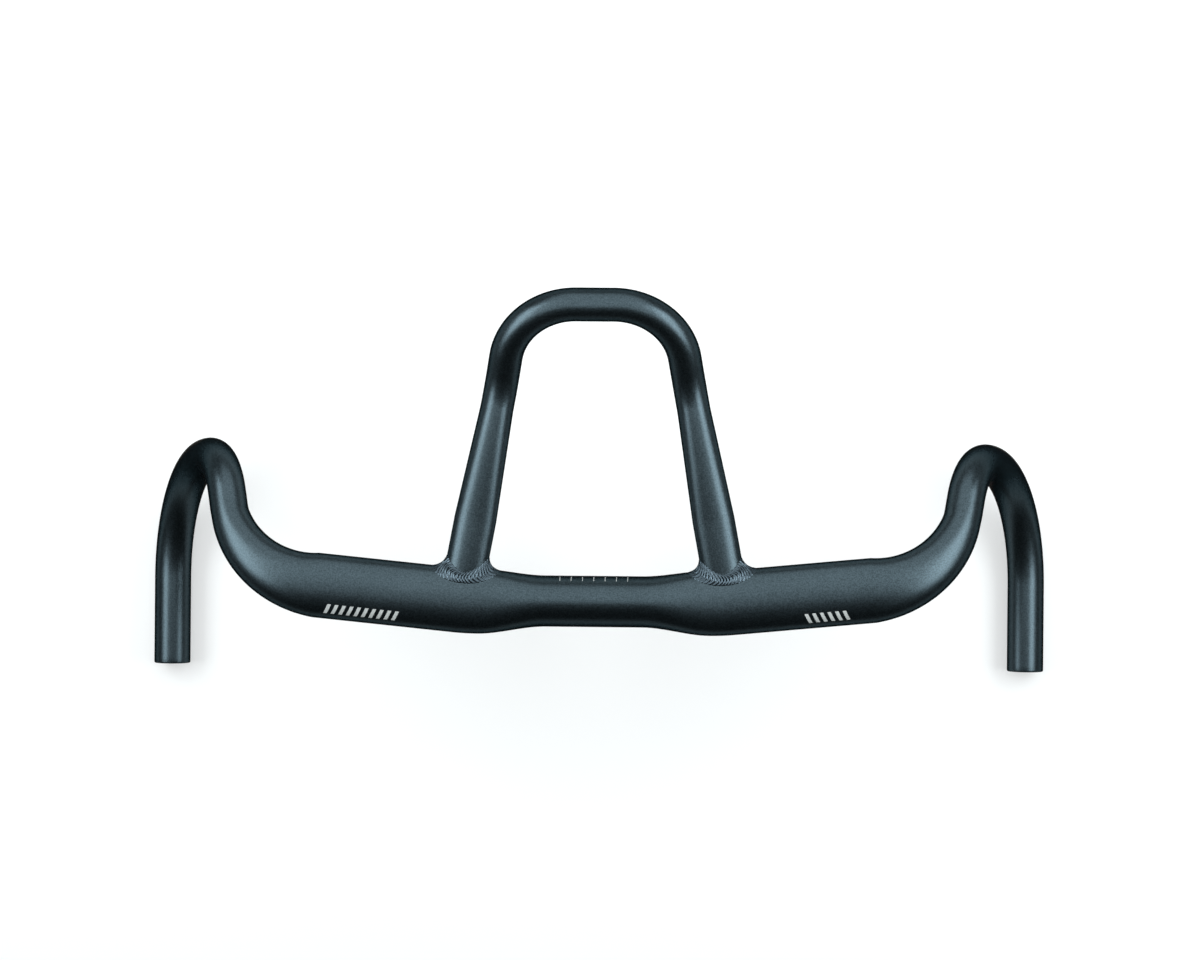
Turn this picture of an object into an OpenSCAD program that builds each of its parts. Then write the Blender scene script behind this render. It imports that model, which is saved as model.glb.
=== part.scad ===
// Flared drop handlebar with a welded front hoop.
// X runs to the rider's right, Y runs forward and Z runs up.
// The origin is the centre of the stem's clamp zone.

/* [Clamp zone] */
// Diameter that the stem closes on
clamp_d = 31.8; // [28:0.1:35]
// Length of the round, straight clamp zone
clamp_w = 60; // [44:1:76]
// Wall of the tube in the clamp zone
clamp_wall = 2.6; // [2:0.1:4]

/* [Wing tops] */
// Front-to-back width of the wing section
wing_chord = 40.4; // [34:0.2:46]
// Thickness of the wing section
wing_thick = 25; // [22:0.5:30]
// Distance by which the wing lies behind the middle of the clamp zone
wing_setback = 0.5; // [0:0.1:2]
// Squareness of the wing section, where 2 is an ellipse
wing_square = 2.3; // [2:0.1:3]
// Length of the change from the round clamp zone to the wing
blend_len = 42; // [24:1:56]
// Forward sweep of the tops, in degrees
sweep = 5.5; // [2:0.5:9]
// Centreline radius of the slight bend that starts the sweep
sweep_r = 150; // [80:10:300]
// Wall of the tube outside the clamp zone
wall = 1.8; // [1.4:0.1:2.5]

/* [Bends and hooks] */
// Distance from the centre to the corner where each side turns forward
corner_x = 221.5; // [190:0.5:260]
// Centreline radius of that forward bend
bend_r = 64; // [50:1:75]
// Diameter of the round tube of the hooks and drops
grip_d = 23.8; // [22.2:0.1:25]
// Outward lean of the hooks, in degrees
hook_flare = 26; // [10:0.5:30]
// Downward slope at which each ramp leaves the forward bend, in degrees
ramp_slope = 25; // [15:1:35]
// Straight stretch of the ramp between its two bends
ramp_len = 10.5; // [2:0.5:30]
// Centreline radius of the upper bend of the hook
hook_top_r = 38; // [30:1:45]
// Centreline radius of the lower bend of the hook
hook_low_r = 80; // [65:1:95]
// Length of each straight drop end
drop_len = 57; // [25:1:90]
// Rounding of the cut edge at each open end
end_round = 1; // [0.4:0.1:1.2]

/* [Hoop] */
// Diameter of the round tube of the hoop
hoop_d = 20.7; // [19:0.1:22.2]
// Wall of the hoop
hoop_wall = 1.6; // [1.2:0.1:2.2]
// Length of the straight middle of the crown
crown_len = 23; // [10:1:40]
// Centreline radius of the two crown bends
crown_r = 44; // [36:1:50]
// Upward slope of the crown and the upper legs, in degrees
crown_rise = 32; // [20:1:38]
// Forward distance from the kick of the legs to the crown
crown_run = 50; // [48:1:70]
// Centreline radius of the kick, where the legs turn upward
kick_r = 54; // [40:1:56]
// Forward distance from the clamp to the kick
kick_y = 132; // [110:1:150]
// Angle by which each leg leans in, in degrees
leg_lean = 10.7; // [8:0.1:12]
// Upward slope of the lower legs, in degrees
leg_rise = 4; // [0:0.5:6]
// Height of each leg above the middle line of the bar, where it crosses it
foot_z = 0.6; // [-1:0.1:2]
// Width of the flattened foot of each leg
foot_w = 26.2; // [23:0.2:28]
// Height of the flattened foot of each leg
foot_h = 16; // [13:0.5:17]
// Length of the leg that keeps the flattened section, from the middle of the bar
foot_len = 52; // [35:1:60]

/* [Weld beads] */
// Radius of the bead of weld round each foot
bead_r = 3.8; // [2.4:0.1:4]
// Pitch of the ripples along the bead
ripple_pitch = 1.9; // [1.6:0.1:3]
// Height of the ripples as a share of the bead's radius
ripple_depth = 0.12; // [0.04:0.01:0.2]

/* [Hidden] */
// Facets of the true circles
$fn = 64;
// Points round each lofted section
sides = 32;
// Colours of the satin black tubes and of the beads
tube_colour = "#26292c";
bead_colour = "#34383b";

clamp_r = clamp_d / 2;
clamp_edge = clamp_w / 2;
grip_r = grip_d / 2;
hoop_r = hoop_d / 2;
half_chord = wing_chord / 2;
half_thick = wing_thick / 2;
// Reach of a lofted end to both sides of the face where the round tube starts
root = 1;
// Distance that such an end keeps inside the wall
root_in = 0.05;
// Section exponent of a true circle or ellipse
round_square = 2;

// A blend from 0 to 1 that starts and ends level
function ease(t) = t * t * (3 - 2 * t);
function clip(t) = min(1, max(0, t));
function mix(a, b, t) = a + (b - a) * t;
function unit(v) = v / norm(v);
// Vector v turned by angle a about the unit axis k
function turned(v, k, a) = v * cos(a) + cross(k, v) * sin(a) + k * (k * v) * (1 - cos(a));
function power(v, p) = sign(v) * pow(abs(v), p);
function flat(lists) = [for (list = lists) each list];
// Angle between two unit vectors
function between(a, b) = acos(a * b);
// Length that a bend of radius r takes off each straight beside it
function tangent_len(r, a) = r * tan(a / 2);

// One section: centre, heading, sideways vector, half width, half height, exponent and wall
function section_ring(s, inset, count) =
    let (up = cross(s[1], s[2]))
    [for (i = [0 : count - 1])
        let (a = 360 * i / count)
        s[0] + s[2] * (s[3] - inset) * power(cos(a), 2 / s[5])
             + up * (s[4] - inset) * power(sin(a), 2 / s[5])];

// Side faces between the rings of a loft, whose first point has the number first
function skin_faces(rings, count, first, inward) =
    [for (i = [0 : rings - 2], j = [0 : count - 1])
        let (a = first + i * count, b = a + count, k = (j + 1) % count)
        inward ? [a + j, b + j, b + k, a + k] : [a + j, a + k, b + k, b + j]];

// Flat ring that closes a tube between its outer and inner skin
function lip_faces(outer, inner, count, front) =
    [for (j = [0 : count - 1])
        let (k = (j + 1) % count)
        front ? [outer + j, outer + k, inner + k, inner + j]
              : [outer + j, inner + j, inner + k, outer + k]];

// Hollow tube through a list of sections
module loft_tube(stations) {
    rings = len(stations);
    skin = rings * sides;
    last = skin - sides;
    outer = flat([for (s = stations) section_ring(s, 0, sides)]);
    inner = flat([for (s = stations) section_ring(s, s[6], sides)]);
    polyhedron(concat(outer, inner), concat(
        skin_faces(rings, sides, 0, true),
        skin_faces(rings, sides, skin, false),
        lip_faces(0, skin, sides, true),
        lip_faces(last, skin + last, sides, false)), convexity = 8);
}

// Solid of the outer shape of the same loft
module loft_solid(stations) {
    rings = len(stations);
    last = (rings - 1) * sides;
    points = flat([for (s = stations) section_ring(s, 0, sides)]);
    polyhedron(points, concat(
        skin_faces(rings, sides, 0, true),
        [[for (j = [0 : sides - 1]) j]],
        [[for (j = [0 : sides - 1]) last + sides - 1 - j]]), convexity = 8);
}

// Frame at a point, from its three unit axes
module at_frame(o, x, y, z) {
    multmatrix([
        [x[0], y[0], z[0], o[0]],
        [x[1], y[1], z[1], o[1]],
        [x[2], y[2], z[2], o[2]],
        [0, 0, 0, 1]]) children();
}

module tube_section(r, thick) {
    difference() {
        circle(r);
        circle(r - thick);
    }
}

// Bent round tube in the XY plane: it starts on the X axis and turns about the origin
module bent_tube(bend, angle, r, thick) {
    rotate_extrude(angle = angle) translate([bend, 0]) tube_section(r, thick);
}

// Section of a lofted end, which stays within the wall of the round tube of radius r
function root_section(p, head, side, r, thick) =
    [p, head, side, r - root_in, r - root_in, round_square,
     r - root_in - (r - thick + root_in) / cos(180 / sides)];

// Straight tops of the right-hand side, seen from above
sweep_x = clamp_edge + blend_len;
sweep_dir = [cos(sweep), sin(sweep), 0];
sweep_end = [sweep_x + sweep_r * sin(sweep), sweep_r * (1 - cos(sweep)) - wing_setback, 0];
corner = sweep_end + sweep_dir * (corner_x - sweep_end[0]) / cos(sweep);

// Heading of the ramp, in the leaning plane of the hook
hook_down = [sin(hook_flare), 0, -cos(hook_flare)];
ramp_dir = [0, cos(ramp_slope), 0] + hook_down * sin(ramp_slope);
bend_axis = unit(cross(sweep_dir, ramp_dir));
bend_angle = between(sweep_dir, ramp_dir);
bend_cut = tangent_len(bend_r, bend_angle);
bend_start = corner - sweep_dir * bend_cut;
bend_end = corner + ramp_dir * bend_cut;
bend_pivot = bend_start + cross(bend_axis, sweep_dir) * bend_r;

// Corner of the upper bend of the hook, and the point where the lower bend follows it
hook_turn = 90 - ramp_slope;
hook_cut = tangent_len(hook_top_r, hook_turn);
hook_corner = bend_end + ramp_dir * (ramp_len + hook_cut);
hook_start = hook_corner - ramp_dir * hook_cut;
hook_middle = hook_corner + hook_down * hook_cut;

// Sections of the change from the round clamp zone to the wing
blend_steps = 8;
blend_stations = [for (i = [1 : blend_steps])
    let (t = i / blend_steps, e = ease(t))
    [[clamp_edge + blend_len * t, -wing_setback * e, 0], [1, 0, 0], [0, 1, 0],
     mix(clamp_r, half_chord, e), mix(clamp_r, half_thick, e),
     mix(round_square, wing_square, e), mix(clamp_wall, wall, t)]];
clamp_root = [for (x = [clamp_edge - root, clamp_edge + root])
    root_section([x, 0, 0], [1, 0, 0], [0, 1, 0], clamp_r, clamp_wall)];

// Sections of the slight bend that starts the sweep
sweep_steps = 3;
sweep_stations = [for (i = [1 : sweep_steps])
    let (a = sweep * i / sweep_steps)
    [[sweep_x + sweep_r * sin(a), sweep_r * (1 - cos(a)) - wing_setback, 0],
     [cos(a), sin(a), 0], [-sin(a), cos(a), 0],
     half_chord, half_thick, wing_square, wall]];

// Sections of the forward bend, which tapers from the wing to the round grip just before its end
bend_steps = 14;
taper_share = 0.94;
bend_side = [-sin(sweep), cos(sweep), 0];
bend_stations = [for (i = [0 : bend_steps])
    let (a = bend_angle * i / bend_steps, t = clip(i / bend_steps / taper_share))
    [bend_pivot + turned(bend_start - bend_pivot, bend_axis, a),
     turned(sweep_dir, bend_axis, a), turned(bend_side, bend_axis, a),
     mix(half_chord, grip_r, t), mix(half_thick, grip_r, t),
     mix(wing_square, round_square, ease(t)), wall]];
ramp_side = turned(bend_side, bend_axis, bend_angle);
ramp_end = [hook_start, ramp_dir, ramp_side, grip_r, grip_r, round_square, wall];

wing_stations = concat(clamp_root, blend_stations, sweep_stations, [bend_stations[0]]);
top_stations = concat(clamp_root, blend_stations, sweep_stations, bend_stations, [ramp_end]);

// Crown of the hoop, whose bends set where the legs run
leg_dir = unit([-tan(leg_lean), 1, tan(leg_rise)]);
upper_dir = unit([-tan(leg_lean), 1, tan(crown_rise)]);
crown_turn = between(upper_dir, [-1, 0, 0]);
crown_cut = tangent_len(crown_r, crown_turn);
crown_z = foot_z + kick_y * tan(leg_rise) + crown_run * tan(crown_rise);
crown_mid = [0, kick_y + crown_run, crown_z];
crown_corner = crown_mid + [crown_len / 2 + crown_cut, 0, 0];
crown_end = crown_corner - upper_dir * crown_cut;
crown_up = [0, cos(crown_rise), sin(crown_rise)];
kick = crown_corner - upper_dir * (crown_run / upper_dir[1]);
leg_foot = kick - leg_dir * (kick_y / leg_dir[1]);

// Sections of a leg: flattened foot, change to round, kick and upper leg
kick_axis = unit(cross(leg_dir, upper_dir));
kick_turn = between(leg_dir, upper_dir);
kick_cut = tangent_len(kick_r, kick_turn);
kick_start = kick - leg_dir * kick_cut;
kick_pivot = kick_start + cross(kick_axis, leg_dir) * kick_r;
leg_side = unit(cross(leg_dir, [0, 0, 1]));
leg_up = cross(leg_side, leg_dir);
leg_cap = leg_foot + leg_dir * bead_r;
foot_end = leg_foot + leg_dir * foot_len;
foot_stations = [
    [leg_cap, leg_dir, -leg_side, foot_w / 2, foot_h / 2, round_square, hoop_wall],
    [foot_end, leg_dir, -leg_side, foot_w / 2, foot_h / 2, round_square, hoop_wall]];
swage_steps = 5;
swage_stations = [for (i = [1 : swage_steps])
    let (t = i / swage_steps)
    [mix(foot_end, kick_start, t), leg_dir, -leg_side, mix(foot_w / 2, hoop_r, t),
     mix(foot_h / 2, hoop_r, t), round_square, hoop_wall]];
kick_steps = 5;
kick_stations = [for (i = [1 : kick_steps])
    let (a = kick_turn * i / kick_steps)
    [kick_pivot + turned(kick_start - kick_pivot, kick_axis, a), turned(leg_dir, kick_axis, a),
     turned(-leg_side, kick_axis, a), hoop_r, hoop_r, round_square, hoop_wall]];
upper_side = turned(-leg_side, kick_axis, kick_turn);
crown_root = [for (d = [-root, root])
    root_section(crown_end + upper_dir * d, upper_dir, upper_side, hoop_r, hoop_wall)];
leg_stations = concat(foot_stations, swage_stations, kick_stations, crown_root);

// Middle line and front face of the tops at the distance x from the centre
function middle_y(x) =
    let (dx = x - sweep_x, arc = sweep_r * sin(sweep))
    dx <= 0 ? -wing_setback * ease(clip(1 + dx / blend_len))
        : dx < arc ? sweep_r - sqrt(sweep_r * sweep_r - dx * dx) - wing_setback
        : sweep_end[1] + (dx - arc) * tan(sweep);
function front_y(x, z) =
    let (e = ease(clip((x - clamp_edge) / blend_len)), n = mix(round_square, wing_square, e),
         c = mix(clamp_r, half_chord, e), h = mix(clamp_r, half_thick, e))
    middle_y(x) + c * pow(1 - pow(clip(abs(z) / h), n), 1 / n);

// Point of the mitre at the angle a round the leg, found in a few steps along the leg
function mitre_point(a, s, tries) =
    let (p = leg_foot + leg_side * cos(a) * foot_w / 2 + leg_up * sin(a) * foot_h / 2 + leg_dir * s)
    tries == 0 ? p : mitre_point(a, s + (front_y(p[0], p[2]) - p[1]) / leg_dir[1], tries - 1);
mitre_tries = 4;

// Ripples follow each other round the foot, and each is leaning over the one before
foot_round = PI * (foot_w + foot_h) / 2;
ripples = round(foot_round / ripple_pitch);
ripple_points = 3;
bead_rings = ripples * ripple_points;
bead_sides = 10;
ripple_lean = 0.3;
function saw(t) = t - floor(t);
function bead_point(i, j) =
    let (a = 360 * i / bead_rings, b = 360 * j / bead_sides, p = mitre_point(a, 0, mitre_tries),
         out = unit(leg_side * cos(a) * foot_h + leg_up * sin(a) * foot_w),
         crest = saw(i / ripple_points + ripple_lean * cos(b)),
         r = bead_r * (1 - ripple_depth * crest))
    p + out * r * cos(b) + leg_dir * r * sin(b);

// Solid outside of the tops, which the hoop and the beads are cut to fit
module tops_envelope() {
    loft_solid(wing_stations);
}

// Solid outside of the foot of a leg, which the bead is cut to fit
module foot_envelope() {
    loft_solid(foot_stations);
}

// Wall of the straight drop along Z, with a rounded edge at its open end
module drop_wall() {
    inner_r = grip_r - wall;
    edge_r = grip_r - end_round;
    translate([inner_r, 0]) square([wall, drop_len - end_round]);
    translate([inner_r, 0]) square([wall - end_round, drop_len]);
    intersection() {
        translate([edge_r, drop_len - end_round]) circle(end_round);
        translate([edge_r, drop_len - end_round]) square(end_round);
    }
}

// Leaning plane of the right-hand hook, with forward along X and up along Y
module hook_plane() {
    at_frame(hook_middle, [0, 1, 0], -hook_down, cross([0, 1, 0], -hook_down)) children();
}

// Round upper and lower bend of the hook
module hook() {
    hook_plane() {
        translate([-hook_top_r, 0, 0]) bent_tube(hook_top_r, hook_turn, grip_r, wall);
        translate([-hook_low_r, 0, 0]) rotate([0, 0, -90]) bent_tube(hook_low_r, 90, grip_r, wall);
    }
}

// Straight end behind the hook
module drop() {
    hook_plane()
        translate([-hook_low_r, -hook_low_r, 0]) rotate([0, -90, 0]) rotate_extrude() drop_wall();
}

// Clamp zone, wing tops, forward bends and ramps
module bar_tops() {
    color(tube_colour) {
        rotate([0, 90, 0]) linear_extrude(clamp_w, center = true) tube_section(clamp_r, clamp_wall);
        loft_tube(top_stations);
        mirror([1, 0, 0]) loft_tube(top_stations);
    }
}

module hook_right() {
    color(tube_colour) hook();
}

module hook_left() {
    color(tube_colour) mirror([1, 0, 0]) hook();
}

module drop_right() {
    color(tube_colour) drop();
}

module drop_left() {
    color(tube_colour) mirror([1, 0, 0]) drop();
}

// Straight crown with the two bends beside it, drawn in its sloping plane
module hoop_crown() {
    at_frame(crown_mid, [1, 0, 0], crown_up, cross([1, 0, 0], crown_up)) {
        rotate([0, 90, 0]) linear_extrude(crown_len, center = true) tube_section(hoop_r, hoop_wall);
        for (side = [0, 1]) mirror([side, 0, 0])
            translate([-crown_len / 2, -crown_r, 0]) rotate([0, 0, 90])
                bent_tube(crown_r, crown_turn, hoop_r, hoop_wall);
    }
}

module hoop_leg() {
    difference() {
        loft_tube(leg_stations);
        tops_envelope();
    }
}

// Bent tube in front of the tops, with flattened feet mitred to the wing
module hoop() {
    color(tube_colour) {
        hoop_crown();
        hoop_leg();
        mirror([1, 0, 0]) hoop_leg();
    }
}

// Rippled bead round the right-hand foot, cut to sit on the leg and the wing
module weld_bead() {
    difference() {
        polyhedron(
            [for (i = [0 : bead_rings - 1], j = [0 : bead_sides - 1]) bead_point(i, j)],
            [for (i = [0 : bead_rings - 1], j = [0 : bead_sides - 1])
                let (a = i * bead_sides, b = ((i + 1) % bead_rings) * bead_sides, k = (j + 1) % bead_sides)
                [a + j, a + k, b + k, b + j]],
            convexity = 10);
        tops_envelope();
        foot_envelope();
    }
}

module weld_bead_right() {
    color(bead_colour) weld_bead();
}

module weld_bead_left() {
    color(bead_colour) mirror([1, 0, 0]) weld_bead();
}

bar_tops();
hook_left();
hook_right();
drop_left();
drop_right();
hoop();
weld_bead_left();
weld_bead_right();
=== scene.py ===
"""Dresses the flared drop handlebar: swept tubes, weld beads, finishes, floor, lamps, camera."""
import logging
import math
from dataclasses import dataclass, field
from enum import Enum
from typing import Callable, Optional, Sequence, TypeVar

import bpy
from mathutils import Matrix, Vector


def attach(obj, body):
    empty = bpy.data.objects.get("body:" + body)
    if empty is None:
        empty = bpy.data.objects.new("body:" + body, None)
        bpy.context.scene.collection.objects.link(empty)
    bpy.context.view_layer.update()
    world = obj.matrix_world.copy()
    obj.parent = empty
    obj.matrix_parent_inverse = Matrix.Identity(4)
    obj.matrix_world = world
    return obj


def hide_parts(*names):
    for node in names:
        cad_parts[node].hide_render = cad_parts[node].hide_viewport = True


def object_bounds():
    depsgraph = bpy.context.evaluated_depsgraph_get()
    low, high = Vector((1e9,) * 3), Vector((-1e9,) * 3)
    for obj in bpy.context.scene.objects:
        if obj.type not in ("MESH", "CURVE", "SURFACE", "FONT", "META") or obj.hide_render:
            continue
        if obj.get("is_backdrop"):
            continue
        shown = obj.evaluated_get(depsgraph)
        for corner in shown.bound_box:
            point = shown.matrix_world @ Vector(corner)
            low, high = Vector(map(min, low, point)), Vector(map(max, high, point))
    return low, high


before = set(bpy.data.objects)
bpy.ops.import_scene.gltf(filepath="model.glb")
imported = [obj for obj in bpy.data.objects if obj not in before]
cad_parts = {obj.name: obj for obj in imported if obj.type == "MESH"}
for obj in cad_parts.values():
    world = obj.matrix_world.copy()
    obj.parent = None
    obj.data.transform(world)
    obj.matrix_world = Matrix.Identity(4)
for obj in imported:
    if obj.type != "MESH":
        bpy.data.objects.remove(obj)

LOG = logging.getLogger("handlebar")
MM = 0.001
BODY = "root"
X_AXIS = Vector((1, 0, 0))
Y_AXIS = Vector((0, 1, 0))
Z_AXIS = Vector((0, 0, 1))
# Squareness of a circle or an ellipse
ROUND = 2.0
WHITE = (1.0, 1.0, 1.0, 1.0)
# Edges that turn by more than this many degrees stay sharp
TUBE_SHARP = 40
BEAD_SHARP = 50
FLAT_SHARP = 30

Mixable = TypeVar("Mixable", float, Vector)
Span = tuple[float, float]
Face = tuple[int, ...]
Rings = Sequence[Sequence[Vector]]


class Side(Enum):
    """Which half of the bar a piece belongs to."""

    LEFT = -1
    RIGHT = 1

    @property
    def word(self) -> str:
        """Lower-case name used in piece names."""
        return self.name.lower()


def ease(t: float) -> float:
    """Blend from 0 to 1 that starts and ends level."""
    return t * t * (3 - 2 * t)


def clip(t: float) -> float:
    """Limit t to the range from 0 to 1."""
    return min(1.0, max(0.0, t))


def mix(a: Mixable, b: Mixable, t: float) -> Mixable:
    """Straight mix of two numbers or vectors."""
    return a + (b - a) * t


def power(value: float, exponent: float) -> float:
    """Signed power, which keeps the sign of value."""
    return math.copysign(abs(value) ** exponent, value)


def mirrored(v: Vector) -> Vector:
    """Vector seen in the mirror plane between the two halves."""
    return Vector((-v.x, v.y, v.z))


def linear(hex_colour: str) -> tuple[float, float, float, float]:
    """Turn an sRGB hex colour into linear light, by the curve of the sRGB standard.

    Args:
        hex_colour: Colour such as "#26292c".

    Returns:
        Linear red, green, blue and alpha 1.
    """
    channels = [int(hex_colour[i : i + 2], 16) / 255 for i in (1, 3, 5)]
    lit = [c / 12.92 if c <= 0.04045 else ((c + 0.055) / 1.055) ** 2.4 for c in channels]
    return (*lit, 1.0)


@dataclass(frozen=True)
class Profile:
    """Cross-section of a tube, in mm.

    The outline is a superellipse: squareness 2 is a true ellipse.
    """

    half_width: float
    half_height: float
    squareness: float
    wall: float

    def towards(self, other: "Profile", t: float, corner: Optional[float] = None) -> "Profile":
        """Profile part of the way to another one.

        Args:
            other: Profile at t = 1.
            t: Share of the way for the sizes.
            corner: Share of the way for the squareness, or t where it is left out.

        Returns:
            The mixed profile.
        """
        return Profile(
            mix(self.half_width, other.half_width, t),
            mix(self.half_height, other.half_height, t),
            mix(self.squareness, other.squareness, t if corner is None else corner),
            mix(self.wall, other.wall, t),
        )


@dataclass(frozen=True)
class Section:
    """A profile at its place on the tube's middle line."""

    centre: Vector
    heading: Vector
    side: Vector
    profile: Profile

    def point(self, angle: float, lift: float = 0.0) -> Vector:
        """Point of the outline.

        Args:
            angle: Angle round the section in radians, from the side vector.
            lift: Distance outside the surface, negative for inside it.

        Returns:
            The point in mm.
        """
        p = self.profile
        up = self.heading.cross(self.side)
        share = 2 / p.squareness
        across = (p.half_width + lift) * power(math.cos(angle), share)
        above = (p.half_height + lift) * power(math.sin(angle), share)
        return self.centre + self.side * across + up * above

    def ring(self, lift: float, count: int) -> list[Vector]:
        """Evenly stepped points of the outline, lifted as in point."""
        return [self.point(math.tau * i / count, lift) for i in range(count)]

    def mirrored(self) -> "Section":
        """The same section on the other half, heading on along the tube."""
        centre, heading, side = (mirrored(v) for v in (self.centre, self.heading, self.side))
        return Section(centre, -heading, side, self.profile)


@dataclass
class TubeWalk:
    """Walks along a tube's middle line and leaves a section at each step."""

    point: Vector
    heading: Vector
    side: Vector
    sections: list[Section] = field(default_factory=list)

    def leave(self, profile: Profile, offset: float = 0.0) -> None:
        """Leave a section here.

        Args:
            profile: Cross-section at this place.
            offset: Sideways distance of its centre from the middle line.
        """
        centre = self.point + self.side * offset
        self.sections.append(Section(centre, self.heading, self.side, profile))

    def straight(
        self, length: float, steps: int, profile: Callable[[float], Profile]
    ) -> None:
        """Walk straight on.

        Args:
            length: Distance in mm.
            steps: Number of sections left on the way.
            profile: Gives the cross-section at each share of the way.
        """
        start = self.point.copy()
        for i in range(1, steps + 1):
            self.point = start + self.heading * (length * i / steps)
            self.leave(profile(i / steps))

    def bend(
        self, radius: float, target: Vector, steps: int, profile: Callable[[float], Profile]
    ) -> None:
        """Walk round a bend.

        Args:
            radius: Centreline radius in mm.
            target: Heading at the end of the bend.
            steps: Number of sections left on the way.
            profile: Gives the cross-section at each share of the way.
        """
        axis = self.heading.cross(target).normalized()
        angle = self.heading.angle(target)
        pivot = self.point + axis.cross(self.heading) * radius
        spoke, heading, side = self.point - pivot, self.heading, self.side
        for i in range(1, steps + 1):
            turn = Matrix.Rotation(angle * i / steps, 3, axis)
            self.point = pivot + turn @ spoke
            self.heading, self.side = turn @ heading, turn @ side
            self.leave(profile(i / steps))


def skin(rings: Rings, closed: bool = False) -> tuple[list[Vector], list[Face]]:
    """Side faces through rings of equal length.

    Args:
        rings: Rings of points, each closed on itself.
        closed: Whether the last ring joins the first one.

    Returns:
        Points, and faces that number them.
    """
    count = len(rings[0])
    spans = len(rings) if closed else len(rings) - 1
    faces = []
    for i in range(spans):
        a, b = i * count, (i + 1) % len(rings) * count
        for j in range(count):
            k = (j + 1) % count
            faces.append((a + j, b + j, b + k, a + k))
    return [p for ring in rings for p in ring], faces


def tube_shell(outer: Rings, inner: Rings) -> tuple[list[Vector], list[Face]]:
    """Closed hollow tube between an outer and an inner skin.

    Args:
        outer: Rings of the outer skin, from end to end.
        inner: Rings of the inner skin in the same order, with as many points each.

    Returns:
        Points and faces of the shell.
    """
    return skin([*outer, *reversed(inner)], closed=True)


def make_piece(
    name: str, points: Sequence[Vector], faces: Sequence[Face], sharp: float
) -> bpy.types.Object:
    """Make a mesh object from points in mm.

    Args:
        name: Name of the piece.
        points: Corners in mm.
        faces: Faces that number the corners.
        sharp: Angle in degrees above which an edge stays sharp.

    Returns:
        The new object, linked to the scene.
    """
    mesh = bpy.data.meshes.new(name)
    mesh.from_pydata([tuple(p * MM) for p in points], [], list(faces))
    mesh.validate()
    mesh.update()
    mesh.shade_smooth()
    mesh.set_sharp_from_angle(angle=math.radians(sharp))
    piece = bpy.data.objects.new(name, mesh)
    bpy.context.scene.collection.objects.link(piece)
    return piece


def outward(piece: bpy.types.Object) -> None:
    """Turn a closed piece's faces so that they look outward."""
    mesh = piece.data
    volume = 0.0
    for face in mesh.polygons:
        a = mesh.vertices[face.vertices[0]].co
        for i in range(1, len(face.vertices) - 1):
            b, c = (mesh.vertices[face.vertices[i + k]].co for k in (0, 1))
            volume += a.dot(b.cross(c))
    if volume < 0:
        mesh.flip_normals()


def add_node(
    tree: bpy.types.NodeTree,
    kind: str,
    settings: Optional[dict] = None,
    inputs: Optional[dict] = None,
) -> bpy.types.Node:
    """Add a shader node.

    Args:
        tree: Node tree that gets the node.
        kind: Blender's name of the node type.
        settings: Attributes to set on the node.
        inputs: Value, or socket to link, for each input by its name or number.

    Returns:
        The new node.
    """
    node = tree.nodes.new(kind)
    for name, value in (settings or {}).items():
        setattr(node, name, value)
    for name, value in (inputs or {}).items():
        if isinstance(value, bpy.types.NodeSocket):
            tree.links.new(value, node.inputs[name])
        else:
            node.inputs[name].default_value = value
    return node


def fresh_material(name: str) -> tuple[bpy.types.Material, bpy.types.NodeTree]:
    """New material with an empty node tree."""
    material = bpy.data.materials.new(name)
    material.use_nodes = True
    material.node_tree.nodes.clear()
    return material, material.node_tree


def grain_scale(size_mm: float) -> float:
    """Noise scale for object coordinates in metres whose cells are size_mm wide."""
    return 1 / (size_mm * MM)


def noise(
    tree: bpy.types.NodeTree, place: bpy.types.NodeSocket, size_mm: float, octaves: float
) -> bpy.types.NodeSocket:
    """Grey noise whose coarsest cells are size_mm wide."""
    inputs = {"Vector": place, "Scale": grain_scale(size_mm), "Detail": octaves}
    return add_node(tree, "ShaderNodeTexNoise", {}, inputs).outputs["Fac"]


def ranged(
    tree: bpy.types.NodeTree,
    value: bpy.types.NodeSocket,
    source: Span,
    target: Span,
    smooth: bool = False,
) -> bpy.types.NodeSocket:
    """Map a value from one range to another.

    Args:
        tree: Node tree that gets the node.
        value: Socket that gives the value.
        source: Range of the value, beyond which the result stays at its limits.
        target: Results at the two ends of that range.
        smooth: Whether the result leaves and reaches its limits level.

    Returns:
        Socket of the result.
    """
    kind = "SMOOTHSTEP" if smooth else "LINEAR"
    names = ("Value", "From Min", "From Max", "To Min", "To Max")
    inputs = dict(zip(names, (value, *source, *target)))
    node = add_node(tree, "ShaderNodeMapRange", {"interpolation_type": kind}, inputs)
    return node.outputs["Result"]


def calculate(
    tree: bpy.types.NodeTree,
    operation: str,
    *values: bpy.types.NodeSocket | float,
    limit: bool = False,
) -> bpy.types.NodeSocket:
    """Result of a math node on numbers and sockets, kept from 0 to 1 where limit is set."""
    settings = {"operation": operation, "use_clamp": limit}
    return add_node(tree, "ShaderNodeMath", settings, dict(enumerate(values))).outputs["Value"]


def colour_mix(
    tree: bpy.types.NodeTree, share: bpy.types.NodeSocket, low: str, high: str
) -> bpy.types.NodeSocket:
    """Mix of two sRGB hex colours, from low at share 0 to high at share 1."""
    colours = {"Factor": share, "A": linear(low), "B": linear(high)}
    node = add_node(tree, "ShaderNodeMix", {"data_type": "RGBA"}, colours)
    # The node holds one output for each kind of value
    return next(s for s in node.outputs if s.type == "RGBA")


# Range that the noise fills with most of its values
NOISE_SPAN: Span = (0.3, 0.7)
GRIT_OCTAVES = 1.0
CLOUD_OCTAVES = 2.0


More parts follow.
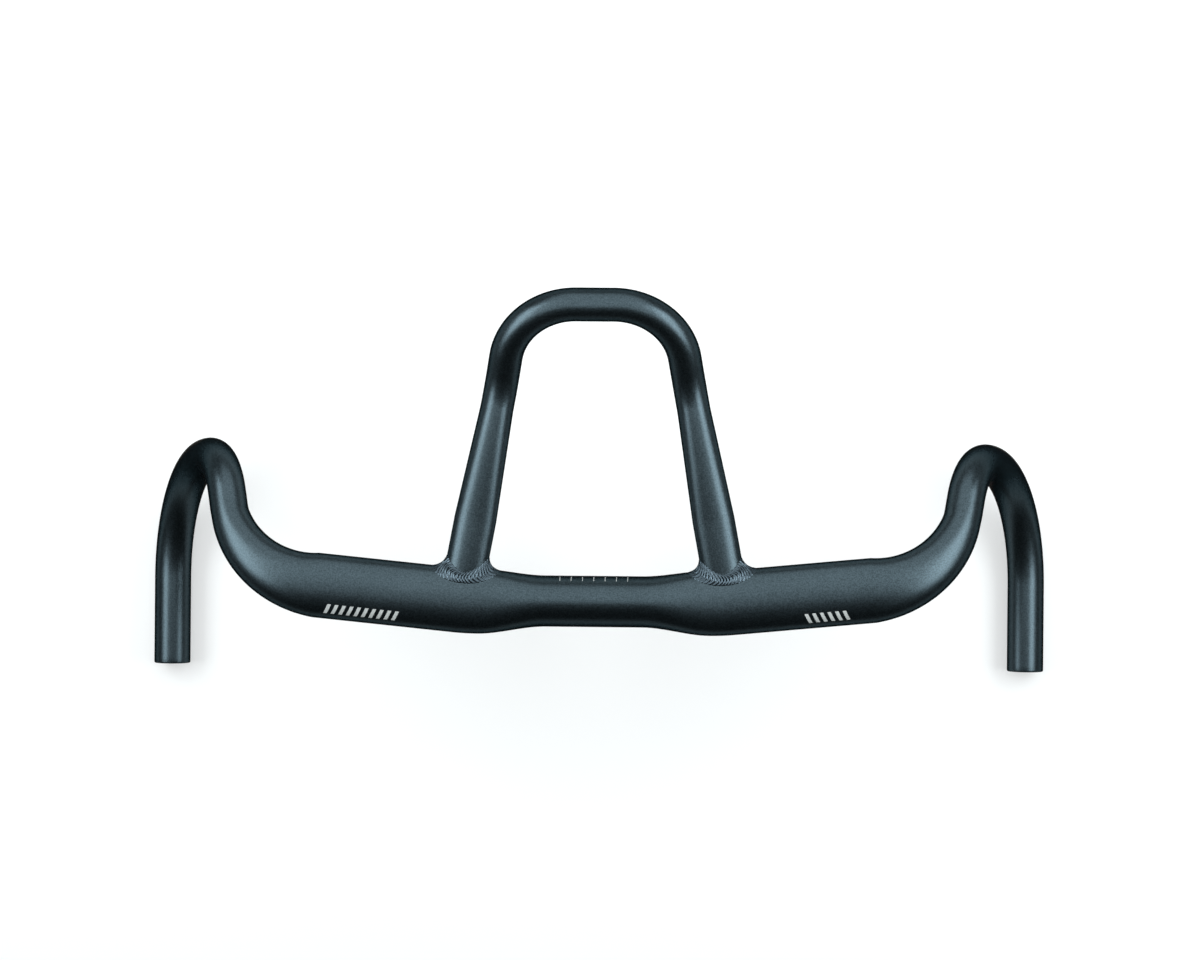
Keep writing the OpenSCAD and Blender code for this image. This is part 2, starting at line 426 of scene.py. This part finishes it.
@dataclass(frozen=True)
class BlastedAnodise:
    """Black anodised aluminium, bead-blasted before the bath and sealed.

    Blasting gives the soft, wide sheen and the fine sparkle. The dyed oxide turns that sheen a
    cold grey-blue. A near-black edge tint paints shade: it swallows the reflection at a slant,
    so the sides of each tube go dark.
    """

    name: str
    sheen: str
    sheen_low: str
    roughness: float
    # Blasting grit leaves dimples of about 0.15 mm, drawn at 0.8 mm so that the render shows them
    grit_mm: float = 0.8
    # Slow change of the dye over half a hand's width
    cloud_mm: float = 45.0
    grit_depth_mm: float = 0.018
    # Painted shade: the edge tint of the reflection is nearly black and warmer than the sheen, so
    # little is left near a tube's edge
    painted_edge_shade: tuple[float, float, float, float] = (0.10, 0.06, 0.03, 1.0)
    # Shares that the grit and the cloud have in the way from the low sheen to the full one
    speck_share: float = 0.8
    cloud_share: float = 0.4
    roughness_spread: float = 0.03
    dimple_strength: float = 0.5

    def build(self) -> bpy.types.Material:
        """Make the material."""
        material, tree = fresh_material(self.name)
        place = add_node(tree, "ShaderNodeTexCoord").outputs["Object"]
        grit = noise(tree, place, self.grit_mm, GRIT_OCTAVES)
        cloud = noise(tree, place, self.cloud_mm, CLOUD_OCTAVES)
        speck = ranged(tree, grit, NOISE_SPAN, (0.0, self.speck_share))
        tone = calculate(tree, "MULTIPLY_ADD", cloud, self.cloud_share, speck, limit=True)
        colour = colour_mix(tree, tone, self.sheen_low, self.sheen)
        smoothest = self.roughness - self.roughness_spread
        roughest = self.roughness + self.roughness_spread
        rough = ranged(tree, grit, NOISE_SPAN, (smoothest, roughest))
        depth = self.grit_depth_mm * MM
        relief = {"Height": grit, "Strength": self.dimple_strength, "Distance": depth}
        dimples = add_node(tree, "ShaderNodeBump", {}, relief).outputs["Normal"]
        surface = {
            "Base Color": colour,
            "Metallic": 1.0,
            "Roughness": rough,
            # Near-black edge tint: painted shade that darkens the sides of each tube
            "Specular Tint": self.painted_edge_shade,
            "Normal": dimples,
        }
        shader = add_node(tree, "ShaderNodeBsdfPrincipled", {}, surface)
        add_node(tree, "ShaderNodeOutputMaterial", {}, {"Surface": shader.outputs[0]})
        return material


@dataclass(frozen=True)
class PadPrint:
    """Pale grey pad-printed ink, a thin matt film that hides the sheen below it."""

    name: str = "pad_printed_ink"
    colour: str = "#b9bbb8"
    colour_low: str = "#8f9290"
    roughness: float = 0.6
    # The ink film mottles with the blasted ground below it, so it is drawn at the same scale
    mottle_mm: float = 0.8

    def build(self) -> bpy.types.Material:
        """Make the material."""
        material, tree = fresh_material(self.name)
        place = add_node(tree, "ShaderNodeTexCoord").outputs["Object"]
        mottle = noise(tree, place, self.mottle_mm, GRIT_OCTAVES)
        colour = colour_mix(tree, mottle, self.colour_low, self.colour)
        surface = {"Base Color": colour, "Roughness": self.roughness}
        shader = add_node(tree, "ShaderNodeBsdfPrincipled", {}, surface)
        add_node(tree, "ShaderNodeOutputMaterial", {}, {"Surface": shader.outputs[0]})
        return material


TUBE_FINISH = BlastedAnodise("black_anodised_tube", "#434e53", "#2c3538", 0.35)
BEAD_FINISH = BlastedAnodise(
    "black_anodised_weld", "#48535a", "#343d41", 0.28, grit_depth_mm=0.006
)
BORE_FINISH = BlastedAnodise("black_anodised_bore", "#2b3236", "#1d2225", 0.55)


@dataclass
class MainBar:
    """Butted tube: clamp zone, wing tops, forward bends, flared hooks and drops.

    Sizes are in mm and degrees.
    """

    clamp_d: float = 31.8
    clamp_w: float = 60
    clamp_wall: float = 2.6
    wing_chord: float = 40.4
    wing_thick: float = 25
    wing_setback: float = 0.5
    wing_square: float = 2.3
    blend_len: float = 42
    sweep: float = 5.5
    sweep_r: float = 150
    wall: float = 1.8
    corner_x: float = 221.5
    bend_r: float = 64
    grip_d: float = 23.8
    hook_flare: float = 26
    ramp_slope: float = 25
    ramp_len: float = 10.5
    hook_top_r: float = 38
    hook_low_r: float = 80
    drop_len: float = 57
    end_round: float = 1
    # Share of the forward bend over which the wing turns into the round grip
    taper_share: float = 0.94
    # Points round the tube, and sections along each stretch
    around: int = 80
    clamp_steps: int = 10
    blend_steps: int = 28
    sweep_steps: int = 8
    wing_steps: int = 30
    bend_steps: int = 60
    ramp_steps: int = 5
    hook_top_steps: int = 36
    hook_low_steps: int = 70
    drop_steps: int = 20
    end_steps: int = 5
    # The bore starts this many sections from each end, and then takes one section in so many
    bore_from: int = 6
    bore_stride: int = 3
    # Length over which slopes are measured, and limits of the search for the tops' surface
    probe: float = 0.01
    search_tries: int = 12
    search_reach: float = 2.0
    least_slope: float = 1e-6

    def __post_init__(self) -> None:
        """Work out the profiles and the corners of the middle line."""
        self.clamp = Profile(self.clamp_d / 2, self.clamp_d / 2, ROUND, self.clamp_wall)
        self.wing = Profile(self.wing_chord / 2, self.wing_thick / 2, self.wing_square, self.wall)
        self.grip = Profile(self.grip_d / 2, self.grip_d / 2, ROUND, self.wall)
        self.clamp_edge = self.clamp_w / 2
        self.sweep_x = self.clamp_edge + self.blend_len
        turn = math.radians(self.sweep)
        self.sweep_dir = Vector((math.cos(turn), math.sin(turn), 0))
        end_x = self.sweep_x + self.sweep_r * math.sin(turn)
        end_y = self.sweep_r * (1 - math.cos(turn)) - self.wing_setback
        self.sweep_end = Vector((end_x, end_y, 0))
        reach = (self.corner_x - self.sweep_end.x) / math.cos(turn)
        corner = self.sweep_end + self.sweep_dir * reach
        flare, slope = math.radians(self.hook_flare), math.radians(self.ramp_slope)
        self.hook_down = Vector((math.sin(flare), 0, -math.cos(flare)))
        self.ramp_dir = Y_AXIS * math.cos(slope) + self.hook_down * math.sin(slope)
        cut = self.bend_r * math.tan(self.sweep_dir.angle(self.ramp_dir) / 2)
        self.wing_len = (corner - self.sweep_end).length - cut
        self.sections = self.half_sections()

    def bend_profile(self, t: float) -> Profile:
        """Profile in the forward bend, which is round before the bend ends."""
        share = clip(t / self.taper_share)
        return self.wing.towards(self.grip, share, ease(share))

    def half_sections(self) -> list[Section]:
        """Sections of the right half, from the middle of the clamp zone to the drop's end."""
        walk = TubeWalk(Vector((0, 0, 0)), X_AXIS.copy(), Y_AXIS.copy())
        walk.leave(self.clamp)
        walk.straight(self.clamp_edge, self.clamp_steps, lambda t: self.clamp)
        for i in range(1, self.blend_steps + 1):
            t = i / self.blend_steps
            walk.point = Vector((self.clamp_edge + self.blend_len * t, 0, 0))
            shape = self.clamp.towards(self.wing, ease(t))
            walk.leave(shape, -self.wing_setback * ease(t))
        walk.point = Vector((self.sweep_x, -self.wing_setback, 0))
        walk.bend(self.sweep_r, self.sweep_dir, self.sweep_steps, lambda t: self.wing)
        walk.straight(self.wing_len, self.wing_steps, lambda t: self.wing)
        walk.bend(self.bend_r, self.ramp_dir, self.bend_steps, self.bend_profile)
        walk.straight(self.ramp_len, self.ramp_steps, lambda t: self.grip)
        walk.bend(self.hook_top_r, self.hook_down, self.hook_top_steps, lambda t: self.grip)
        walk.bend(self.hook_low_r, -Y_AXIS, self.hook_low_steps, lambda t: self.grip)
        walk.straight(self.drop_len - self.end_round, self.drop_steps, lambda t: self.grip)
        self.round_end(walk)
        return walk.sections

    def round_end(self, walk: TubeWalk) -> None:
        """Leave the sections of the rounded edge at the drop's open end."""
        walk.side = (walk.side - walk.heading * walk.side.dot(walk.heading)).normalized()
        start = walk.point.copy()
        for i in range(1, self.end_steps + 1):
            angle = math.pi / 2 * i / self.end_steps
            lost = self.end_round * (1 - math.cos(angle))
            radius = self.grip.half_width - lost
            walk.point = start + walk.heading * (self.end_round * math.sin(angle))
            walk.leave(Profile(radius, radius, ROUND, self.wall - lost))

    def middle_y(self, x: float) -> float:
        """Place of the tops' middle line along Y, at the distance x from the centre."""
        dx, arc = x - self.sweep_x, self.sweep_r * math.sin(math.radians(self.sweep))
        if dx <= 0:
            return -self.wing_setback * ease(clip(1 + dx / self.blend_len))
        if dx < arc:
            return self.sweep_r - math.sqrt(self.sweep_r**2 - dx**2) - self.wing_setback
        return self.sweep_end.y + (dx - arc) * math.tan(math.radians(self.sweep))

    def level(self, p: Vector) -> float:
        """How far outside the tops a point lies: 0 on the surface, negative inside."""
        share = clip((abs(p.x) - self.clamp_edge) / self.blend_len)
        shape = self.clamp.towards(self.wing, ease(share))
        across = abs(p.y - self.middle_y(abs(p.x))) / shape.half_width
        above = abs(p.z) / shape.half_height
        return across**shape.squareness + above**shape.squareness - 1

    def rise(self, p: Vector, heading: Vector) -> float:
        """Change of level from one probe behind a point to one probe ahead of it."""
        return self.level(p + heading * self.probe) - self.level(p - heading * self.probe)

    def normal(self, p: Vector) -> Vector:
        """Direction straight out of the tops near a point."""
        return Vector([self.rise(p, axis) for axis in (X_AXIS, Y_AXIS, Z_AXIS)]).normalized()

    def on_tops(self, p: Vector, heading: Vector) -> Vector:
        """Point of the tops' surface reached from p along heading.

        Args:
            p: Starting point, near the surface.
            heading: Unit vector to move along, either way.

        Returns:
            The point on the surface.
        """
        for _ in range(self.search_tries):
            slope = self.rise(p, heading) / (2 * self.probe)
            if abs(slope) > self.least_slope:
                move = self.level(p) / slope
                p = p - heading * max(-self.search_reach, min(self.search_reach, move))
        return p

    def wing_section(self, distance: float, side: Side) -> Section:
        """Section of the straight wing at a distance from the end of its sweep."""
        turn = Vector((-self.sweep_dir.y, self.sweep_dir.x, 0))
        centre = self.sweep_end + self.sweep_dir * distance
        section = Section(centre, self.sweep_dir, turn, self.wing)
        return section if side is Side.RIGHT else section.mirrored()

    def clamp_section(self, x: float) -> Section:
        """Section of the clamp zone at x."""
        return Section(Vector((x, 0, 0)), X_AXIS, Y_AXIS, self.clamp)

    def build(self) -> bpy.types.Object:
        """Make the whole tube as one closed shell."""
        right = self.sections
        whole = [s.mirrored() for s in reversed(right[1:])] + right
        outer = [s.ring(0, self.around) for s in whole]
        middle = whole[self.bore_from : -self.bore_from : self.bore_stride]
        thin = whole[:1] + middle + whole[-1:]
        inner = [s.ring(-s.profile.wall, self.around) for s in thin]
        points, faces = tube_shell(outer, inner)
        piece = make_piece("bar_tube", points, faces, TUBE_SHARP)
        outward(piece)
        piece.data.materials.append(TUBE_FINISH.build())
        piece.data.materials.append(BORE_FINISH.build())
        first_inner = len(outer) * self.around
        for face in piece.data.polygons:
            face.material_index = int(min(face.vertices) >= first_inner)
        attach(piece, BODY)
        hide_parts("bar_tops", "hook_left", "hook_right", "drop_left", "drop_right")
        return piece


@dataclass
class Hoop:
    """Bent tube in front of the tops, with flattened feet mitred to the wing.

    Sizes are in mm and degrees.
    """

    bar: MainBar
    hoop_d: float = 20.7
    hoop_wall: float = 1.6
    crown_len: float = 23
    crown_r: float = 44
    crown_rise: float = 32
    crown_run: float = 50
    kick_r: float = 54
    kick_y: float = 132
    leg_lean: float = 10.7
    leg_rise: float = 4
    foot_z: float = 0.6
    foot_w: float = 26.2
    foot_h: float = 16
    foot_len: float = 52
    # Distance along the leg at which the search for the mitre starts
    mitre_from: float = 17
    # Distance along the leg from which its sections are whole
    clear: float = 30.0
    # Depth to which the foot runs on into the bar's wall
    sink: float = 0.8
    # Points round the tube, and sections along each stretch
    around: int = 72
    foot_steps: int = 6
    flat_steps: int = 6
    swage_steps: int = 24
    kick_steps: int = 20
    upper_steps: int = 6
    bend_steps: int = 48
    crown_steps: int = 4

    def __post_init__(self) -> None:
        """Work out the corners of the middle line, as the solid model does."""
        lean, low, high = (math.radians(a) for a in (self.leg_lean, self.leg_rise, self.crown_rise))
        self.leg_dir = Vector((-math.tan(lean), 1, math.tan(low))).normalized()
        self.upper_dir = Vector((-math.tan(lean), 1, math.tan(high))).normalized()
        crown_cut = self.crown_r * math.tan(self.upper_dir.angle(-X_AXIS) / 2)
        crown_z = self.foot_z + self.kick_y * math.tan(low) + self.crown_run * math.tan(high)
        corner_x = self.crown_len / 2 + crown_cut
        crown_corner = Vector((corner_x, self.kick_y + self.crown_run, crown_z))
        kick = crown_corner - self.upper_dir * (self.crown_run / self.upper_dir.y)
        self.foot = kick - self.leg_dir * (self.kick_y / self.leg_dir.y)
        self.leg_side = self.leg_dir.cross(Z_AXIS).normalized()
        self.leg_up = self.leg_side.cross(self.leg_dir)
        kick_cut = self.kick_r * math.tan(self.leg_dir.angle(self.upper_dir) / 2)
        self.lower_len = (kick - self.foot).length - kick_cut
        self.upper_len = (crown_corner - kick).length - kick_cut - crown_cut
        self.flat = Profile(self.foot_w / 2, self.foot_h / 2, ROUND, self.hoop_wall)
        self.tube = Profile(self.hoop_d / 2, self.hoop_d / 2, ROUND, self.hoop_wall)

    def mitre(self, angle: float, inset: float = 0.0) -> Vector:
        """Point where a line along the leg meets the tops.

        Args:
            angle: Angle round the foot in radians, from the outer side over the top.
            inset: Distance of the line inside the leg's surface.

        Returns:
            The point on the tops' front face.
        """
        start = (
            self.foot
            + self.leg_side * (math.cos(angle) * (self.foot_w / 2 - inset))
            + self.leg_up * (math.sin(angle) * (self.foot_h / 2 - inset))
            + self.leg_dir * self.mitre_from
        )
        return self.bar.on_tops(start, self.leg_dir)

    def half_sections(self) -> list[Section]:
        """Sections of the right half, from clear of the bar to the middle of the crown."""
        swage_len = self.lower_len - self.foot_len
        walk = TubeWalk(self.foot + self.leg_dir * self.clear, self.leg_dir, -self.leg_side)
        walk.leave(self.flat)
        walk.straight(self.foot_len - self.clear, self.flat_steps, lambda t: self.flat)
        walk.straight(swage_len, self.swage_steps, lambda t: self.flat.towards(self.tube, t))
        walk.bend(self.kick_r, self.upper_dir, self.kick_steps, lambda t: self.tube)
        walk.straight(self.upper_len, self.upper_steps, lambda t: self.tube)
        walk.bend(self.crown_r, -X_AXIS, self.bend_steps, lambda t: self.tube)
        walk.straight(self.crown_len / 2, self.crown_steps, lambda t: self.tube)
        return walk.sections

    def foot_rings(self, inset: float, first: Sequence[Vector]) -> list[list[Vector]]:
        """Rings from the mitre, a little inside the bar's wall, up to the first full section.

        Args:
            inset: Distance inside the leg's surface.
            first: Ring of the first full section.

        Returns:
            Rings in order, without the first full one.
        """
        steps = self.foot_steps
        # The sections' side vector points inward, so their angles run the other way round
        angles = [math.pi - math.tau * i / self.around for i in range(self.around)]
        cut = [self.mitre(angle, inset) - self.leg_dir * self.sink for angle in angles]
        return [[mix(a, b, k / steps) for a, b in zip(cut, first)] for k in range(steps)]

    def build(self) -> bpy.types.Object:
        """Make the whole hoop as one closed shell."""
        half = self.half_sections()
        rings = []
        for inset in (0.0, self.hoop_wall):
            right = [s.ring(-inset, self.around) for s in half]
            right = self.foot_rings(inset, right[0]) + right
            left = [[mirrored(p) for p in ring] for ring in reversed(right[:-1])]
            rings.append(right + left)
        points, faces = tube_shell(*rings)
        piece = make_piece("hoop_tube", points, faces, TUBE_SHARP)
        outward(piece)
        piece.data.materials.append(TUBE_FINISH.build())
        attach(piece, BODY)
        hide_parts("hoop")
        return piece


@dataclass
class WeldBead:
    """Hand-laid weld round one foot of the hoop: a fillet of overlapping ripples. Sizes in mm."""

    hoop: Hoop
    side: Side
    # Reach of the fillet along the bar and along the leg, on top of the foot and beside it
    bar_reach: Span = (3.6, 8.4)
    leg_reach: Span = (3.8, 7.8)
    # Fullness of the fillet there: 0 is hollow, 1 is flat, more is crowned
    fullness: Span = (2.2, 0.15)
    # How slowly the values on top of the foot turn into those beside it
    beside_power: float = 1.6
    ripples: int = 42
    ripple_height: float = 0.85
    # Roundness of a ripple's back, and the height at which it leaves the fillet's own line
    ripple_power: float = 0.8
    ripple_level: float = 0.5
    # Ripples by which the middle of a crescent is shifted against its two ends
    crescent: float = 1.5
    # Unevenness of the hand: ripples of shift, waves round the foot, and where they start
    wander: tuple[tuple[float, float, float], ...] = ((0.35, 3, 1), (0.25, 7, 2))
    per_ripple: int = 12
    across: int = 16
    # Depth of the hidden edges below the surface, and how far the bar's edge runs on outward
    toe: float = 0.5
    toe_out: float = 0.2

    def wave(self, turns: float) -> float:
        """Height of the ripples, round on top with a sharp groove between two of them."""
        return abs(math.sin(math.pi * turns)) ** self.ripple_power

    def ring(self, share: float) -> list[Vector]:
        """Closed cross-section of the bead.

        Args:
            share: Place round the foot, from 0 to 1.

        Returns:
            Points from the toe on the bar to the toe on the leg, and back through the corner.
        """
        hoop, bar = self.hoop, self.hoop.bar
        angle = math.tau * share
        corner = hoop.mitre(angle)
        # Straight out of an oval, whose normal leans by the other half axis
        radial = (
            hoop.leg_side * (math.cos(angle) * hoop.foot_h)
            + hoop.leg_up * (math.sin(angle) * hoop.foot_w)
        ).normalized()
        out = bar.normal(corner)
        along_bar = (radial - out * radial.dot(out)).normalized()
        beside = abs(math.cos(angle)) ** self.beside_power
        start = corner + along_bar * mix(*self.bar_reach, beside)
        start = bar.on_tops(start, bar.normal(start))
        end = corner + hoop.leg_dir * mix(*self.leg_reach, beside)
        middle = (start + end) / 2
        pull = mix(corner, middle, mix(*self.fullness, beside))
        lift = (bar.normal(start) + radial).normalized()
        first_turn = share * self.ripples + sum(
            shift * math.sin(waves * angle + phase) for shift, waves, phase in self.wander
        )
        points = [start - bar.normal(start) * self.toe + along_bar * self.toe_out]
        for i in range(self.across + 1):
            t = i / self.across
            curve = start * (1 - t) ** 2 + pull * (2 * t * (1 - t)) + end * t**2
            bow = 1 - (2 * t - 1) ** 2
            ripple = self.wave(first_turn + self.crescent * bow) - self.ripple_level
            points.append(curve + lift * (self.ripple_height * ripple * math.sqrt(bow)))
        points.append(end - radial * self.toe)
        points.append(corner - lift * self.toe)
        return points

    def build(self) -> bpy.types.Object:
        """Make the bead as one closed ring."""
        count = self.ripples * self.per_ripple
        rings = [self.ring(i / count) for i in range(count)]
        if self.side is Side.LEFT:
            rings = [[mirrored(p) for p in ring] for ring in rings]
        points, faces = skin(rings, closed=True)
        piece = make_piece(f"weld_ripples_{self.side.word}", points, faces, BEAD_SHARP)
        outward(piece)
        piece.data.materials.append(BEAD_FINISH.build())
        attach(piece, BODY)
        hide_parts(f"weld_bead_{self.side.word}")
        return piece


@dataclass
class PrintedMark:
    """Plain printed bars or ticks that lie on the tube's surface. Sizes in mm and degrees."""

    name: str
    place: Callable[[float], Section]
    # Where each mark starts along the tube, how far it runs, and the angles round it
    starts: Sequence[float]
    width: float
    angles: Span
    slant: float = 0.0
    # Height of the film over the tube, and its depth below the surface
    film: float = 0.06
    along_steps: int = 4
    round_steps: int = 10

    def patch(self, start: float) -> tuple[list[Vector], list[Face]]:
        """Closed thin film of one mark.

        Args:
            start: Where the mark starts along the tube.

        Returns:
            Points and faces.
        """
        rings = []
        low, high = (math.radians(a) for a in self.angles)
        for i in range(self.round_steps + 1):
            t = i / self.round_steps
            angle = mix(low, high, t)
            top, bottom = [], []
            for j in range(self.along_steps + 1):
                along = start + self.slant * t + self.width * j / self.along_steps
                section = self.place(along)
                top.append(section.point(angle, self.film))
                bottom.append(section.point(angle, -self.film))
            rings.append(top + bottom[::-1])
        points, faces = skin(rings)
        count = len(rings[0])
        last = (len(rings) - 1) * count
        faces.append(tuple(range(count)))
        faces.append(tuple(last + i for i in reversed(range(count))))
        return points, faces

    def build(self) -> bpy.types.Object:
        """Make all the marks of this group as one piece."""
        points, faces = [], []
        for start in self.starts:
            more, made = self.patch(start)
            faces += [tuple(i + len(points) for i in face) for face in made]
            points += more
        piece = make_piece(self.name, points, faces, FLAT_SHARP)
        outward(piece)
        piece.data.materials.append(PadPrint().build())
        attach(piece, BODY)
        return piece


@dataclass(frozen=True)
class SoftLamp:
    """Rectangular studio lamp. Places and sizes in metres."""

    name: str
    place: tuple[float, float, float]
    aim: tuple[float, float, float]
    # Size across the bar's forward direction, and along it
    size: Span
    radiance: float
    colour: str = "#f4fbff"

    def build(self) -> bpy.types.Object:
        """Make the lamp, facing its aim.

        Returns:
            The lamp's object.
        """
        data = bpy.data.lights.new(self.name, "AREA")
        data.shape = "RECTANGLE"
        data.size, data.size_y = self.size
        # A flat lamp of radiance 1 gives pi watts for each square metre
        data.energy = self.radiance * math.pi * self.size[0] * self.size[1]
        data.color = linear(self.colour)[:3]
        lamp = bpy.data.objects.new(self.name, data)
        lamp.location = self.place
        away = (lamp.location - Vector(self.aim)).normalized()
        across = Y_AXIS.cross(away).normalized()
        axes = Matrix((across, away.cross(across), away)).transposed()
        lamp.rotation_euler = axes.to_euler()
        bpy.context.scene.collection.objects.link(lamp)
        return lamp


@dataclass
class Studio:
    """Pale floor, soft lamps and the camera straight above. Sizes in metres."""

    floor_colour: str = "#b8b8b6"
    floor_size: float = 16.0
    # Lift to white near the part and far from it, and the distances between which it falls
    floor_glow: Span = (0.46, 0.36)
    glow_fade: Span = (0.5, 1.3)
    # Grey light from all round
    room_level: float = 0.035
    camera_at: tuple[float, float, float] = (0.0410, 0.0754, 1.8653)
    camera_aim: tuple[float, float, float] = (0.00312, 0.07547, 0.0)
    camera_roll: float = 0.521
    # Lens and sensor width in mm, and the distance to which the camera sees
    lens: float = 90.12
    sensor: float = 36.0
    sight: float = 100.0
    lamps: Sequence[SoftLamp] = (
        SoftLamp("overhead_softbox", (0.04, 0.74, 0.485), (0.04, 0.66, 0), (1.1, 1.58), 2.05),
        SoftLamp("side_panel_left", (-0.80, 0.22, 0.6), (0, 0.06, 0), (0.46, 0.88), 7.4),
        SoftLamp("side_panel_right", (0.78, 0.18, 0.6), (0, 0.06, 0), (0.46, 0.88), 7.4),
    )

    def floor_material(self) -> bpy.types.Material:
        """Matt seamless paper, lifted towards white as a background, with the shadow kept."""
        material, tree = fresh_material("studio_paper")
        rays = add_node(tree, "ShaderNodeLightPath").outputs
        seen = calculate(tree, "MAXIMUM", rays["Is Camera Ray"], rays["Is Glossy Ray"])
        seen = calculate(tree, "MAXIMUM", seen, rays["Is Transmission Ray"])
        place = add_node(tree, "ShaderNodeTexCoord").outputs["Object"]
        far = add_node(tree, "ShaderNodeVectorMath", {"operation": "LENGTH"}, {0: place})
        lift = ranged(tree, far.outputs["Value"], self.glow_fade, self.floor_glow, smooth=True)
        glow = calculate(tree, "MULTIPLY", seen, lift)
        colour = linear(self.floor_colour)
        paper = add_node(tree, "ShaderNodeBsdfDiffuse", {}, {"Color": colour})
        light = add_node(tree, "ShaderNodeEmission", {}, {"Color": WHITE, "Strength": glow})
        both = add_node(
            tree, "ShaderNodeAddShader", {}, {0: paper.outputs[0], 1: light.outputs[0]}
        )
        # Seen from below, the floor is clear, so that a view from there shows the part
        below = add_node(tree, "ShaderNodeNewGeometry").outputs["Backfacing"]
        clear = add_node(tree, "ShaderNodeBsdfTransparent")
        sides = {0: below, 1: both.outputs[0], 2: clear.outputs[0]}
        shown = add_node(tree, "ShaderNodeMixShader", {}, sides)
        add_node(tree, "ShaderNodeOutputMaterial", {}, {"Surface": shown.outputs[0]})
        return material

    def build_floor(self, height: float) -> bpy.types.Object:
        """Lay the floor under the part.

        Args:
            height: Height of the floor in metres.

        Returns:
            The floor.
        """
        half = self.floor_size / 2 / MM
        level = height / MM
        plan = ((-half, -half), (half, -half), (half, half), (-half, half))
        corners = [Vector((x, y, level)) for x, y in plan]
        floor = make_piece("studio_floor", corners, [(0, 1, 2, 3)], FLAT_SHARP)
        floor.data.materials.append(self.floor_material())
        floor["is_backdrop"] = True
        return floor

    def build_camera(self) -> bpy.types.Object:
        """Set the camera where the picture was taken from, almost straight above the bar."""
        place, aim = Vector(self.camera_at), Vector(self.camera_aim)
        back = (place - aim).normalized()
        right = Y_AXIS.cross(back).normalized()
        up = back.cross(right)
        turn = math.radians(self.camera_roll)
        across = right * math.cos(turn) + up * math.sin(turn)
        data = bpy.data.cameras.new("overhead_camera")
        data.lens, data.sensor_width, data.clip_end = self.lens, self.sensor, self.sight
        camera = bpy.data.objects.new("overhead_camera", data)
        axes = Matrix((across, back.cross(across), back)).transposed().to_4x4()
        camera.matrix_world = Matrix.Translation(place) @ axes
        bpy.context.scene.collection.objects.link(camera)
        bpy.context.scene.camera = camera
        return camera

    def build(self, lowest: float) -> None:
        """Build the floor, lamps, room and camera.

        Args:
            lowest: Height of the part's lowest point in metres.
        """
        self.build_floor(lowest)
        for lamp in self.lamps:
            lamp.build()
        world = bpy.data.worlds.new("dim_room")
        world.use_nodes = True
        world.node_tree.nodes.clear()
        grey = (self.room_level, self.room_level, self.room_level, 1)
        room = add_node(world.node_tree, "ShaderNodeBackground", {}, {"Color": grey})
        add_node(world.node_tree, "ShaderNodeOutputWorld", {}, {"Surface": room.outputs[0]})
        scene = bpy.context.scene
        scene.world = world
        scene.view_settings.view_transform = "Standard"
        self.build_camera()


def row(first: float, pitch: float, count: int) -> list[float]:
    """Places of evenly spaced marks, in mm."""
    return [first + pitch * i for i in range(count)]


def marks(bar: MainBar) -> list[PrintedMark]:
    """Generic printed marks: slanted bars on the wings and alignment ticks on the clamp zone."""
    bar_pitch, bar_width, bar_angles, bar_slant = 4.7, 2.2, (118, 141), 2.5
    tick_pitch, tick_width, tick_angles = 7, 0.3, (16, 36)

    def wing_bars(side: Side, first: float, count: int) -> PrintedMark:
        """Slanted bars on one wing, the first of them this far from the end of its sweep."""
        return PrintedMark(
            f"wing_bars_{side.word}",
            lambda distance: bar.wing_section(distance, side),
            row(first, bar_pitch, count),
            bar_width,
            bar_angles,
            bar_slant,
        )

    ticks = row(-21.15, tick_pitch, 7)
    return [
        wing_bars(Side.LEFT, 33, 10),
        wing_bars(Side.RIGHT, 43, 6),
        PrintedMark("clamp_ticks", bar.clamp_section, ticks, tick_width, tick_angles),
    ]


def main() -> None:
    """Build every piece in order and report it."""
    logging.basicConfig(level=logging.INFO, format="%(name)s: %(message)s")
    solid_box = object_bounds()
    bar = MainBar()
    hoop = Hoop(bar)
    pieces = [bar.build(), hoop.build()]
    pieces += [WeldBead(hoop, side).build() for side in Side]
    pieces += [mark.build() for mark in marks(bar)]
    for piece in pieces:
        LOG.info("%s: %d faces", piece.name, len(piece.data.polygons))
    Studio().build(solid_box[0].z)


if __name__ == "__main__":
    main()
